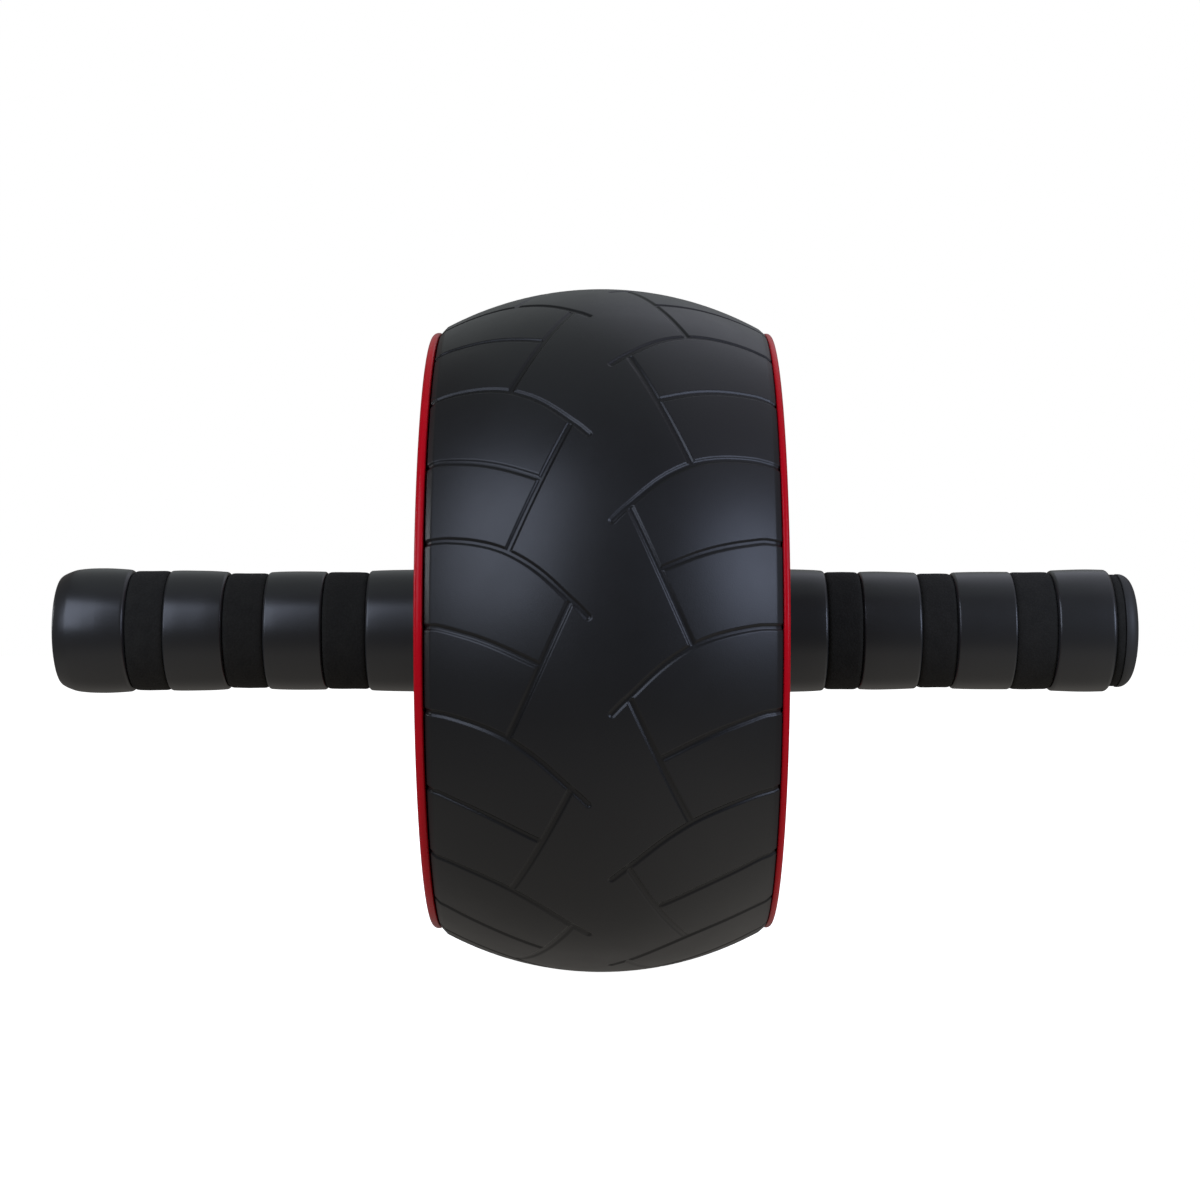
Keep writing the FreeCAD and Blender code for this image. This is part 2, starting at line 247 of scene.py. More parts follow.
GROOVE_TOP, GROOVE_FLOOR, GROOVE_DEPTH, GROOVE_ROUND = 1.28, 0.16, 0.42, 0.45


def spread(angle):
    """The pitch of the tread varies a little round the wheel."""
    return angle + math.radians(0.55) - math.radians(2.55) * np.sin(angle)


def build_tyre():
    lines = groove_lines()
    pts, owner = [], []
    for n, ln in enumerate(lines):
        keep = (ln[:, 1] > -12) & (ln[:, 1] < V_PITCH + 12)
        for k in np.nonzero(keep)[0]:
            pts.append(ln[k])
            owner.append((n, k))
    tree = KDTree(len(pts))
    for i, p in enumerate(pts):
        tree.insert((p[0], p[1], 0.0), i)
    tree.balance()

    def nearest(uv):
        """(distance, unit direction away from the groove) at each point."""
        dist, away = np.zeros(len(uv)), np.zeros((len(uv), 2))
        for i, q in enumerate(uv):
            q = np.array((q[0], q[1] % V_PITCH))
            _, at, _ = tree.find((q[0], q[1], 0.0))
            n, k = owner[at]
            ln = lines[n]
            best, foot = 1e9, ln[k]
            for a, b in ((k - 1, k), (k, k + 1)):
                if a < 0 or b >= len(ln):
                    continue
                e = ln[b] - ln[a]
                t = min(1.0, max(0.0, float((q - ln[a]) @ e / (e @ e))))
                f = ln[a] + t * e
                d = float(np.hypot(*(q - f)))
                if d < best:
                    best, foot = d, f
            dist[i] = best
            if best > 1e-6:
                away[i] = (q - foot) / best
        return dist, away

    # points along every groove, in rows at the breaks of its cross-section, and corners where two grooves meet
    e = GROOVE_ROUND
    levels = [GROOVE_FLOOR + (GROOVE_TOP - GROOVE_FLOOR) * t for t in (0, e / 2, e, 1 - e, 1 - e / 2, 1)]
    u_lo, u_hi = (float(u_of_y(s * (EDGE[s][0] - 0.5))) for s in (-1, 1))
    uv, links, corners, rim = [], set(), [], {-1: {}, 1: {}}

    def put(q, corner=False):
        """(index, pitch step) of a point; a corner that two grooves share is kept once."""
        step = math.floor(q[1] / V_PITCH)
        at = (float(q[0]), float(q[1] - step * V_PITCH))
        if corner:
            for i in corners:
                for k in (-1, 0, 1):
                    if math.hypot(uv[i][0] - at[0], uv[i][1] + k * V_PITCH - at[1]) < 0.08:
                        return i, step + k
            corners.append(len(uv))
        uv.append(at)
        return len(uv) - 1, step

    def link(p, q):
        """An edge that the mesh has to have, the first end in the first pitch."""
        if p is not None and q is not None and p != q:
            (i, a), (j, b) = sorted((p, q))
            links.add((i, j, b - a))

    for ln in lines[2::5]:
        whole = np.concatenate([[0], np.cumsum(np.linalg.norm(np.diff(ln, axis=0), axis=1))])
        side = -1 if ln[0, 0] < L_TOT / 2 else 1
        edge_u = u_lo if side < 0 else u_hi
        opened = (ln[0, 0] - edge_u) * side > 0
        s0 = float(np.interp(-side * edge_u, -side * ln[:, 0], whole)) if opened else 0.0
        at = np.linspace(s0, whole[-1], max(3, int(round((whole[-1] - s0) / 0.7))) + 1)
        on = lambda s: np.stack([np.interp(s, whole, ln[:, k]) for k in (0, 1)], 1)
        p, t = on(at), on(np.minimum(at + 0.1, whole[-1])) - on(np.maximum(at - 0.1, 0))
        if opened:
            p[0, 0], t[0] = edge_u, (-side, 0)
        t /= np.linalg.norm(t, axis=1)[:, None]
        n = np.stack([-t[:, 1], t[:, 0]], 1)
        turn = [math.pi * k / 8 for k in range(1, 8)]
        foot = list(p) + [p[-1]] * 7 + list(p[::-1])
        way = list(n) + [math.cos(q) * n[-1] + math.sin(q) * t[-1] for q in turn] + list(-n[::-1])
        mid = list(range(len(p))) + [len(p) - 1] * 7 + list(range(len(p)))[::-1]
        if not opened:
            foot += [p[0]] * 7
            way += [-math.cos(q) * n[0] - math.sin(q) * t[0] for q in turn]
            mid += [0] * 7
        foot, way = np.array(foot), np.array(way)
        pairs = [(i, i + 1) for i in range(len(foot) - 1)] + ([] if opened else [(len(foot) - 1, 0)])
        heart = [put(q) for q in p]
        for i in range(len(p) - 1):
            link(heart[i], heart[i + 1])
        if opened:
            rim[side][heart[0][0]] = 0
        below, below_turns = [heart[m] for m in mid], None
        for level in levels:
            spot = foot + level * way
            kept = nearest(spot)[0] > level - 0.012
            turns = []
            for i, j in pairs:
                if kept[i] != kept[j]:
                    lo, hi = (0.0, 1.0) if kept[i] else (1.0, 0.0)
                    for _ in range(14):
                        s = 0.5 * (lo + hi)
                        w = way[i] + s * (way[j] - way[i])
                        q = foot[i] + s * (foot[j] - foot[i]) + level * w / np.linalg.norm(w)
                        if nearest(q[None])[0][0] > level - 0.012:
                            lo = s
                        else:
                            hi = s
                    turns.append((i if kept[i] else j, q))
            for i, q in turns:
                if np.hypot(*(spot[i] - q)) < 0.15:
                    kept[i] = False
            now = [put(q) if k else None for q, k in zip(spot, kept)]
            ends = [put(q, corner=True) for _, q in turns]
            for i, j in pairs:
                link(now[i], now[j])
                link(below[i], now[i])
                if None not in (now[i], now[j], below[i], below[j]):
                    link(below[i], now[j])
                link(below[j], now[j])
            for (i, _), q in zip(turns, ends):
                near = [k for k in range(len(now)) if now[k] is not None and abs(k - i) < 2]
                if near:
                    link(now[min(near, key=lambda k: abs(k - i))], q)
            if below_turns is not None and len(below_turns) == len(ends):
                for q, r in zip(below_turns, ends):
                    link(q, r)
            if opened:
                rim[side][now[0][0]] = rim[side][now[-1][0]] = level
            below, below_turns = now, ends
    # the edges of the crown between the grooves, and loose points over the plain rubber
    for s, edge_u in ((-1, u_lo), (1, u_hi)):
        lips = sorted(uv[i][1] for i, level in rim[s].items() if level == levels[-1])
        lips.append(lips[0] + V_PITCH)
        for a, b in zip(lips, lips[1:]):
            if b - a > 2.1 * GROOVE_TOP:
                count = int((b - a) / 2.4) + 1
                for k in range(1, count):
                    rim[s][put((edge_u, a + (b - a) * k / count))[0]] = None
    rng = random.Random(5)
    nu, nv = int((u_hi - u_lo) / 2.6), int(V_PITCH / 2.6)
    loose = np.array([(u_lo + (i + 0.5 + rng.uniform(-0.16, 0.16)) * (u_hi - u_lo) / nu,
                       ((j + 0.5 * (i % 2) + rng.uniform(-0.16, 0.16)) % nv) * V_PITCH / nv) for i in range(nu) for j in range(nv)])
    for q, dist in zip(loose, nearest(loose)[0]):
        if dist > GROOVE_TOP + 0.75 and u_lo + 1.0 < q[0] < u_hi - 1.0:
            put(q)
    # triangles over one pitch and a margin on both sides, of which one pitch is used
    copies = [(i, k) for k in (-1, 0, 1) for i in range(len(uv)) if -14 < uv[i][1] + k * V_PITCH < V_PITCH + 14]
    place = {c: n for n, c in enumerate(copies)}
    flat = [Vector((uv[i][0], uv[i][1] + k * V_PITCH)) for i, k in copies]
    for turn in range(4):
        edges = [(place[(i, k)], place[(j, k + st)]) for i, j, st in sorted(links) for k in (-2, -1, 0, 1, 2)
                 if (i, k) in place and (j, k + st) in place]
        out, _, tris, source, _, _ = delaunay_2d_cdt(flat, edges, [], 0, 1e-6)
        extra = [out[k] for k in range(len(out)) if not source[k]]
        if not extra:
            break
        # where two of the edges cross, the ones near by are given up
        close = lambda i: any(math.hypot(uv[i][0] - q[0], (uv[i][1] - q[1] + V_PITCH / 2) % V_PITCH - V_PITCH / 2) < 0.4 for q in extra)
        links = {ln for ln in links if turn < 2 and not (close(ln[0]) or close(ln[1]))}
    polys = []
    for tri in tris:
        v = sum(out[k][1] for k in tri) / 3
        if 0 <= v < V_PITCH:
            (a, b, c) = (out[k] for k in tri)
            if (b - a).cross(c - a) < 0:
                tri = tri[::-1]
            polys.append([copies[source[k][0]] for k in tri])
    # the shoulders: rows that follow the bevel and the side wall, with the crown's own points along its edge
    ends = []
    for s in (-1, 1):
        bev, wall, low = EDGE[s]
        u_c = float(u_of_y(s * bev))
        u_k = u_c + s * (math.hypot(wall - bev, float(crown(bev)) - low) - 0.02)
        last = 0.0 if s < 0 else L_TOT
        rows = [u_c - s * 0.22, u_c, u_c + s * 0.22, u_c + s * 0.5]
        rows += [rows[-1] + (u_k - s * 0.4 - rows[-1]) * k / 2 for k in (1, 2)]
        rows += [u_k - s * 0.2, u_k, u_k + s * 0.2, u_k + s * 0.5, u_k + s * 1.6]
        prev = sorted((uv[i][1], i) for i in rim[s])
        for u in rows + [last]:
            now = [v for v, _ in prev] if u != last else [V_PITCH * k / 16 for k in range(16)]
            row = [(v, len(uv) + k) for k, v in enumerate(now)]
            uv += [(u, v) for v in now]
            p, q = (row, prev) if s < 0 else (prev, row)
            i = j = 0
            while i < len(p) or j < len(q):  # joins two rows, the one that is behind goes on first
                at = lambda r, k: (r[k % len(r)][1], k // len(r))
                pos = lambda r, k: r[k % len(r)][0] + V_PITCH * (k // len(r))
                if i < len(p) and j < len(q) and pos(p, i + 1) == pos(q, j + 1):
                    polys.append([at(p, i), at(q, j), at(q, j + 1), at(p, i + 1)])
                    i, j = i + 1, j + 1
                elif j >= len(q) or (i < len(p) and pos(p, i + 1) < pos(q, j + 1)):
                    polys.append([at(p, i), at(q, j), at(p, i + 1)])
                    i += 1
                else:
                    polys.append([at(p, i), at(q, j), at(q, j + 1)])
                    j += 1
            prev = row
        ends.append(prev)
    uv = np.array(uv)
    d, away = nearest(uv)
    # straight walls with a rounded lip and foot
    t = np.clip((d - GROOVE_FLOOR) / (GROOVE_TOP - GROOVE_FLOOR), 0, 1)
    steep = 1 / (1 - e)
    shape = np.where(t < e, steep * t**2 / (2 * e), np.where(t > 1 - e, 1 - steep * (1 - t) ** 2 / (2 * e), steep * (t - e / 2)))
    slope = steep * np.clip(np.minimum(t, 1 - t) / e, 0, 1) / (GROOVE_TOP - GROOVE_FLOOR)
    # the grooves run out on the side walls
    wall = np.where(uv[:, 0] < L_TOT / 2, uv[:, 0], L_TOT - uv[:, 0])
    fade = np.clip((wall - 2.6) / 1.6, 0, 1)
    fade = fade * fade * (3 - 2 * fade)
    drop = GROOVE_DEPTH * fade * (1 - shape)
    dd = GROOVE_DEPTH * fade * slope  # d(height)/d(distance)
    y, r = np.interp(uv[:, 0], PL, PY), np.interp(uv[:, 0], PL, PR)
    eps = 0.25
    ty = np.interp(uv[:, 0] + eps, PL, PY) - np.interp(uv[:, 0] - eps, PL, PY)
    tr = np.interp(uv[:, 0] + eps, PL, PR) - np.interp(uv[:, 0] - eps, PL, PR)
    ln = np.hypot(ty, tr)
    ty, tr = ty / ln, tr / ln
    n_r, n_y = ty, -tr  # outward
    rr, yy = r - drop * n_r, y - drop * n_y
    ang = uv[:, 1] / R_MEAN
    gu, gv = dd * away[:, 0], dd * away[:, 1]  # height gradient along the profile and round the wheel
    ml_r, ml_y, ml_t = n_r - gu * tr, n_y - gu * ty, -gv
    ml = np.sqrt(ml_r**2 + ml_y**2 + ml_t**2)
    nv = len(uv)
    verts, norms, faces = [], [], []
    for k in range(N_PITCH):
        th = spread(ang + math.radians(PITCH_DEG) * k)
        c, s = np.cos(th), np.sin(th)
        verts.append(np.stack([rr * c, yy, rr * s], 1))
        norms.append(np.stack([(ml_r * c - ml_t * s) / ml, ml_y / ml, (ml_r * s + ml_t * c) / ml], 1))
        for p in polys:
            faces.append([((k + st) % N_PITCH) * nv + v for v, st in p])
    verts, norms = np.vstack(verts), np.vstack(norms)
    # the inside of the band closes the mesh
    lo, hi = ([k * nv + v for k in range(N_PITCH) for _, v in row] for row in ends)
    lo_a = [spread(math.radians(PITCH_DEG) * k + v / R_MEAN) for k in range(N_PITCH) for v, _ in ends[0]]
    assert len(lo) == len(hi)
    rows = [lo]
    stations = np.linspace(-W_TYRE, W_TYRE, 9)[1:-1]
    base = len(verts)
    add, addn = [], []
    for y_ in stations:
        r_ = float(crown(y_, R_CROWN - T_TYRE))
        rows.append([base + len(add) + q for q in range(len(lo_a))])
        add += [(r_ * math.cos(q), y_, r_ * math.sin(q)) for q in lo_a]
        addn += [(-math.cos(q), 0, -math.sin(q)) for q in lo_a]
    rows.append(hi)
    verts, norms = np.vstack([verts, add]), np.vstack([norms, addn])
    for p, q in zip(rows, rows[1:]):
        for k in range(len(p)):
            k2 = (k + 1) % len(p)
            faces.append([p[k], p[k2], q[k2], q[k]])
    ob = new_object("tread_tyre", verts, faces, norms)
    # the groove depth also drives the painted shade in the tyre's grooves
    depth = ob.data.attributes.new("groove", "FLOAT", "POINT")  # 0 on the tread's face, 1 on a groove's floor
    depth.data.foreach_set("value", np.concatenate([np.tile(fade * (1 - shape), N_PITCH), np.zeros(len(add))]).astype(np.float32))
    return ob


tyre = build_tyre()
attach(tyre, "wheel")
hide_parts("tyre")

# ------------------------------------------------------------------------------------------------ red rims
for side, s, r_out, y_in, y_out in (("left", -1, 85.2, 45.15, 47.55), ("right", 1, 85.0, 46.1, 47.9)):
    poly = [(70.0, y_out), (r_out, y_out), (r_out, y_in), (76.3, y_in), (76.3, 39.5), (73.8, 39.5), (73.8, 40.6),
            (60.0, 40.6), (60.0, 42.8), (70.0, 42.8)]
    prof = rounded(poly, {0: 0.8, 1: 0.6 * (y_out - y_in), 2: 0.28 * (y_out - y_in)}, seg=10)
    prof[:, 1] *= s
    ob = lathe(f"{side}_rim", prof, 288)
    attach(ob, "wheel")
    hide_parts(f"{side}_rim_ring")

# ------------------------------------------------------------------------------------------------ grips
# outside of every raised ring as (distance from the middle plane, radius), and the rounding of its two edges
RINGS = {
    "left": [
        ([(134.3, 17.50), (137.5, 17.76), (140.5, 17.94), (142.5, 18.00)], 1.3, 0.0),
        ([(106.9, 16.88), (109.0, 17.05), (112.0, 17.22), (116.0, 17.31), (120.5, 17.36), (123.8, 17.26)], 0.9, 0.8),
        ([(78.8, 17.00), (82.0, 17.07), (87.0, 17.10), (92.0, 17.02), (95.6, 16.82)], 0.8, 0.9),
        ([(49.8, 17.62), (55.0, 17.56), (60.0, 17.48), (64.0, 17.36), (66.6, 17.22)], 0.9, 0.9)],
    "right": [
        ([(128.8, 17.33), (132.0, 17.47), (136.0, 17.61), (139.5, 17.66), (143.0, 17.60), (145.4, 17.52)], 1.0, 1.2),
        ([(100.6, 16.73), (104.0, 16.87), (108.0, 16.94), (113.0, 16.97), (117.5, 16.95)], 0.9, 0.8),
        ([(73.9, 16.93), (77.0, 17.04), (80.0, 17.05), (84.5, 16.94), (88.0, 16.82), (90.7, 16.68)], 0.8, 0.9),
        ([(47.9, 17.80), (54.0, 17.70), (59.0, 17.57), (62.0, 17.42), (64.1, 17.22)], 0.9, 0.9)],
}
SPANS = {"left": [(134.3, 151.1), (106.9, 123.8), (78.8, 95.6), (49.8, 66.6)],
         "right": [(128.8, 145.4), (100.6, 117.5), (73.9, 90.7), (47.9, 64.1)]}
BANDS = {"left": [17.16, 16.50, 16.80], "right": [16.84, 16.38, 16.88]}
END = {"left": 151.1, "right": 148.1}
CAP = {"left": (17.40, 3.5, 2.6), "right": (16.30, 3.4, 3.8)}  # head radius, and the corner's size along Y and along the radius
T_CAP, R_SEAT, R_TUBE, R_BORE = 4.0, 14.6, 12.5, 11.0


def dip(t, e):
    """How far a rounded edge of radius e has dropped at distance t from its end."""
    t = np.clip(t, 0, e)
    return e - np.sqrt(np.maximum(e**2 - (e - t) ** 2, 0))


def ring_outside(knots, e_in, e_out):
    line_ = smooth_line(knots, 0.1)
    a0, a1 = knots[0][0], knots[-1][0]
    q = 1 - np.cos(np.linspace(0, math.pi / 2, 9))
    a = np.concatenate([a0 + e_in * q if e_in else [a0], np.linspace(a0 + e_in, a1 - e_out, 20)[1:-1],
                        (a1 - e_out * q)[::-1] if e_out else [a1]])
    r = np.interp(a, line_[:, 0], line_[:, 1])
    if e_in:
        r = r - dip(a - a0, e_in)
    if e_out:
        r = r - dip(a1 - a, e_out)
    return np.stack([r, a], 1)


def foam_wave(y, ang):
    """The slight unevenness of the moulded foam."""
    return 0.035 * np.sin(3 * ang + 0.11 * y) + 0.03 * np.sin(7 * ang - 0.37 * y + 1.3) + 0.02 * np.sin(13 * ang + 0.9 * y + 0.4)


# the left end's outside, from the last ring over the cap's corner to its face, as (radius, distance from the middle plane)
LEFT_END = smooth_line([(18.00, 142.5), (17.985, 144.5), (17.94, 146.3), (17.87, 147.5), (17.77, 148.7), (17.64, 149.8), (17.45, 150.9),
                        (17.10, 152.0), (16.62, 153.2), (16.08, 154.25), (15.70, 154.75), (15.28, 155.03), (14.80, 155.1)], 0.15)


def left_radius(a):
    return float(np.interp(a, LEFT_END[:, 1], LEFT_END[:, 0]))


grip_rings, grip_caps, grip_foam = [], [], []
for side, s in (("left", -1), ("right", 1)):
    for i, (knots, e_in, e_out) in enumerate(RINGS[side]):
        prof = ring_outside(knots, e_in, e_out)
        if side == "left" and i == 0:  # a long shoulder that runs on into the end cap
            prof = np.vstack([prof, LEFT_END[(LEFT_END[:, 1] > 142.55) & (LEFT_END[:, 1] < END["left"] - 0.03)],
                              [(left_radius(END["left"] - d), END["left"] - d) for d in (0.02, 0.0)]])
        a0, a1 = SPANS[side][i]
        prof = np.vstack([[(R_SEAT, a0)], prof, [(R_SEAT, a1)]])
        prof[:, 1] *= s
        ob = lathe(f"{side}_band_{i + 1}", prof, 128)
        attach(ob, "handle_bar")
        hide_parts(f"{side}_grip_ring_{i + 1}")
        grip_rings.append(ob)
    # foam sleeve: stepped down under every ring, its edges rolled in beside them
    spans = SPANS[side][::-1]
    out = [(R_TUBE, 47.25), (15.4, 47.25), (15.4, spans[0][0])]
    for i, (a0, a1) in enumerate(spans):
        out += [(R_SEAT, a0), (R_SEAT, a1)]
        if i < 3:
            b0, b1, r = a1, spans[i + 1][0], BANDS[side][2 - i]
            q = 1.4 * (1 - np.cos(np.linspace(0, math.pi / 2, 8)))
            a = np.concatenate([b0 + q, np.linspace(b0 + 1.4, b1 - 1.4, 12)[1:-1], (b1 - q)[::-1]])
            drop = 0.55 * (dip(a - b0, 1.4) + dip(b1 - a, 1.4))
            puff = 0.06 * np.sin(math.pi * (a - b0) / (b1 - b0))
            out += [(r + p - d, x) for x, d, p in zip(a, drop, puff)]
    if side == "right":
        out += [(15.7, 145.4), (16.0, 145.7), (16.1, 146.3), (16.1, 147.5), (15.95, 147.9), (15.6, 148.1)]
    out += [(R_TUBE, END[side])]
    prof = np.array(out)
    prof[:, 1] *= s
    ob = lathe(f"{side}_foam", prof, 160, wobble=lambda y, ang: foam_wave(y, ang))
    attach(ob, "handle_bar")
    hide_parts(f"{side}_grip_sleeve")
    grip_foam.append(ob)
    # end cap; the left one is of the rings' rubber
    r, ca, cb = CAP[side]
    y0 = END[side]
    t = np.linspace(0, math.pi / 2, 16)
    dish = rounded([(0, y0 + T_CAP - 0.6), (9.5, y0 + T_CAP - 0.6), (10.3, y0 + T_CAP), (r - cb, y0 + T_CAP)], {1: 0.5, 2: 0.5}, seg=5,
                   closed=False)
    corner = np.stack([r - cb * (1 - np.sin(t)), y0 + T_CAP - ca * (1 - np.cos(t))], 1)
    foot = [(r, y0 + 0.15), (r - 0.15, y0)]
    if side == "left":
        corner = LEFT_END[::-1][LEFT_END[::-1][:, 1] > y0 + 0.03]
        foot = [(left_radius(y0 + 0.02), y0 + 0.02), (left_radius(y0), y0)]
    rest = foot + [(R_BORE, y0), (R_BORE, y0 - 14.8), (R_BORE - 0.9, y0 - 16), (8.4, y0 - 16), (8.4, y0 + 1.4),
            (0, y0 + 1.4)]
    prof = np.vstack([dish[:-1], corner, rest])
    prof[:, 1] *= s
    ob = lathe(f"{side}_cap", prof, 128, closed=False)
    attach(ob, "handle_bar")
    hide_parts(f"{side}_end_cap")
    (grip_rings if side == "left" else grip_caps).append(ob)

# ------------------------------------------------------------------------------------------------ materials


def material(name):
    m = bpy.data.materials.new(name)
    m.use_nodes = True
    nt = m.node_tree
    nt.nodes.clear()
    out = nt.nodes.new("ShaderNodeOutputMaterial")
    b = nt.nodes.new("ShaderNodeBsdfPrincipled")
    nt.links.new(b.outputs["BSDF"], out.inputs["Surface"])
    tc = nt.nodes.new("ShaderNodeTexCoord")
    return m, nt, b, tc


def noise(nt, tc, scale, detail=3.0, rough=0.5, stretch=None):
    n = nt.nodes.new("ShaderNodeTexNoise")
    n.inputs["Scale"].default_value = scale
    n.inputs["Detail"].default_value = detail
    n.inputs["Roughness"].default_value = rough
    if stretch:
        mp = nt.nodes.new("ShaderNodeMapping")
        mp.inputs["Scale"].default_value = stretch
        nt.links.new(tc.outputs["Object"], mp.inputs["Vector"])
        nt.links.new(mp.outputs["Vector"], n.inputs["Vector"])
    else:
        nt.links.new(tc.outputs["Object"], n.inputs["Vector"])
    return n


def ramp(nt, src, stops):
    r = nt.nodes.new("ShaderNodeValToRGB")
    e = r.color_ramp.elements
    while len(e) < len(stops):
        e.new(0.5)
    for el, (pos, col) in zip(e, stops):
        el.position = pos
        el.color = (*col, 1.0) if len(col) == 3 else col
    nt.links.new(src, r.inputs["Fac"])
    return r.outputs["Color"]


def span(nt, src, a0, a1, b0, b1):
    n = nt.nodes.new("ShaderNodeMapRange")
    n.inputs["From Min"].default_value = a0
    n.inputs["From Max"].default_value = a1
    n.inputs["To Min"].default_value = b0
    n.inputs["To Max"].default_value = b1
    nt.links.new(src, n.inputs["Value"])
    return n.outputs["Result"]


def bump(nt, height, strength, distance, into=None):
    b = nt.nodes.new("ShaderNodeBump")
    b.inputs["Strength"].default_value = strength
    b.inputs["Distance"].default_value = distance
    nt.links.new(height, b.inputs["Height"])
    if into is not None:
        nt.links.new(into, b.inputs["Normal"])
    return b.outputs["Normal"]


def moulded(name, dark, light, rough, grain, strength, spec=0.5, tint_scale=9.0):
    """A moulded black rubber or plastic: slow colour drift, uneven gloss and a fine grain."""
    m, nt, b, tc = material(name)
    slow = noise(nt, tc, tint_scale, 4.0)
    nt.links.new(ramp(nt, slow.outputs["Fac"], [(0.3, dark), (0.7, light)]), b.inputs["Base Color"])
    gloss = noise(nt, tc, 60.0, 5.0, 0.6)
    nt.links.new(span(nt, gloss.outputs["Fac"], 0.25, 0.75, rough[0], rough[1]), b.inputs["Roughness"])
    fine = noise(nt, tc, grain, 2.0, 0.5)
    nt.links.new(bump(nt, fine.outputs["Fac"], strength, 0.0001), b.inputs["Normal"])
    b.inputs["Specular IOR Level"].default_value = spec
    return m


tyre_mat = moulded("tyre_rubber", (0.0054, 0.0054, 0.0055), (0.0068, 0.0068, 0.0069), (0.35, 0.41), 2600.0, 0.18, spec=0.275)
# painted shade: the rubber's base colour is darkened down in the grooves, following the groove depth
nt = tyre_mat.node_tree
b = next(n for n in nt.nodes if n.type == "BSDF_PRINCIPLED")
deep = nt.nodes.new("ShaderNodeAttribute")
deep.attribute_name = "groove"
shade = nt.nodes.new("ShaderNodeMix")
shade.data_type = "RGBA"
shade.inputs["B"].default_value = (0.0012, 0.0012, 0.0013, 1.0)
face = b.inputs["Base Color"].links[0].from_socket
nt.links.new(span(nt, deep.outputs["Fac"], 0.05, 0.55, 0.0, 0.7), shade.inputs["Factor"])
nt.links.new(face, shade.inputs["A"])
nt.links.new(shade.outputs["Result"], b.inputs["Base Color"])
tyre.data.materials.append(tyre_mat)
ring_mat = moulded("grip_rubber", (0.0116, 0.0116, 0.0114), (0.0146, 0.0146, 0.0143), (0.27, 0.34), 3000.0, 0.12, spec=0.36)
cap_mat = moulded("cap_plastic", (0.0150, 0.0150, 0.0142), (0.0190, 0.0190, 0.0180), (0.52, 0.60), 3000.0, 0.15, spec=0.30)
cover_mat = moulded("cover_plastic", (0.0130, 0.0130, 0.0135), (0.0165, 0.0165, 0.017), (0.48, 0.58), 2200.0, 0.35)
drum_mat = moulded("drum_plastic", (0.0110, 0.0110, 0.0115), (0.0150, 0.0150, 0.0155), (0.5, 0.6), 2200.0, 0.3)

foam_mat, nt, b, tc = material("grip_foam")
cells = nt.nodes.new("ShaderNodeTexVoronoi")
cells.inputs["Scale"].default_value = 1500.0
nt.links.new(tc.outputs["Object"], cells.inputs["Vector"])
dust = noise(nt, tc, 240.0, 5.0, 0.6)
nt.links.new(ramp(nt, dust.outputs["Fac"], [(0.3, (0.0066, 0.0062, 0.0049)), (0.75, (0.0104, 0.0098, 0.0078))]), b.inputs["Base Color"])
nt.links.new(span(nt, cells.outputs["Distance"], 0.0, 0.7, 0.86, 0.98), b.inputs["Roughness"])
nt.links.new(bump(nt, cells.outputs["Distance"], 0.35, 0.00025), b.inputs["Normal"])
b.inputs["Specular IOR Level"].default_value = 0.25

red_mat, nt, b, tc = material("rim_red")
slow = noise(nt, tc, 14.0, 4.0)
nt.links.new(ramp(nt, slow.outputs["Fac"], [(0.3, (0.345, 0.0010, 0.0060)), (0.7, (0.395, 0.0015, 0.0080))]), b.inputs["Base Color"])
gl = noise(nt, tc, 120.0, 4.0)
nt.links.new(span(nt, gl.outputs["Fac"], 0.25, 0.75, 0.24, 0.32), b.inputs["Roughness"])
fine = noise(nt, tc, 900.0, 2.0)
nt.links.new(bump(nt, fine.outputs["Fac"], 0.06, 0.0001), b.inputs["Normal"])
b.inputs["Specular IOR Level"].default_value = 0.10

steel_mat, nt, b, tc = material("plated_steel")
b.inputs["Metallic"].default_value = 1.0
lines_ = noise(nt, tc, 40.0, 3.0, 0.6, stretch=(1.0, 60.0, 1.0))
nt.links.new(ramp(nt, lines_.outputs["Fac"], [(0.3, (0.46, 0.46, 0.47)), (0.7, (0.60, 0.60, 0.61))]), b.inputs["Base Color"])
nt.links.new(span(nt, lines_.outputs["Fac"], 0.25, 0.75, 0.24, 0.38), b.inputs["Roughness"])
nt.links.new(bump(nt, lines_.outputs["Fac"], 0.08, 0.0001), b.inputs["Normal"])

nylon_mat, nt, b, tc = material("bearing_nylon")
slow = noise(nt, tc, 50.0, 3.0)
nt.links.new(ramp(nt, slow.outputs["Fac"], [(0.3, (0.58, 0.56, 0.50)), (0.7, (0.66, 0.64, 0.58))]), b.inputs["Base Color"])
nt.links.new(span(nt, slow.outputs["Fac"], 0.25, 0.75, 0.42, 0.52), b.inputs["Roughness"])


def dress(node, mat):
    me = frame["nodes"][node].data
    me.materials.clear()
    me.materials.append(mat)


for side in ("left", "right"):
    dress(f"{side}_drum_half", drum_mat)
    dress(f"{side}_side_cover", cover_mat)
    dress(f"{side}_hub_bush", nylon_mat)
    dress(f"{side}_thrust_washer", nylon_mat)
    dress(f"{side}_shaft_collar", steel_mat)
    dress(f"{side}_grub_screw", steel_mat)
    dress(f"{side}_cover_screws", steel_mat)
    bpy.data.objects[f"{side}_rim"].data.materials.append(red_mat)
for obs, mat in ((grip_rings, ring_mat), (grip_foam, foam_mat), (grip_caps, cap_mat)):
    for ob in obs:
        ob.data.materials.append(mat)
dress("drum_screws", steel_mat)
dress("axle_tube", steel_mat)

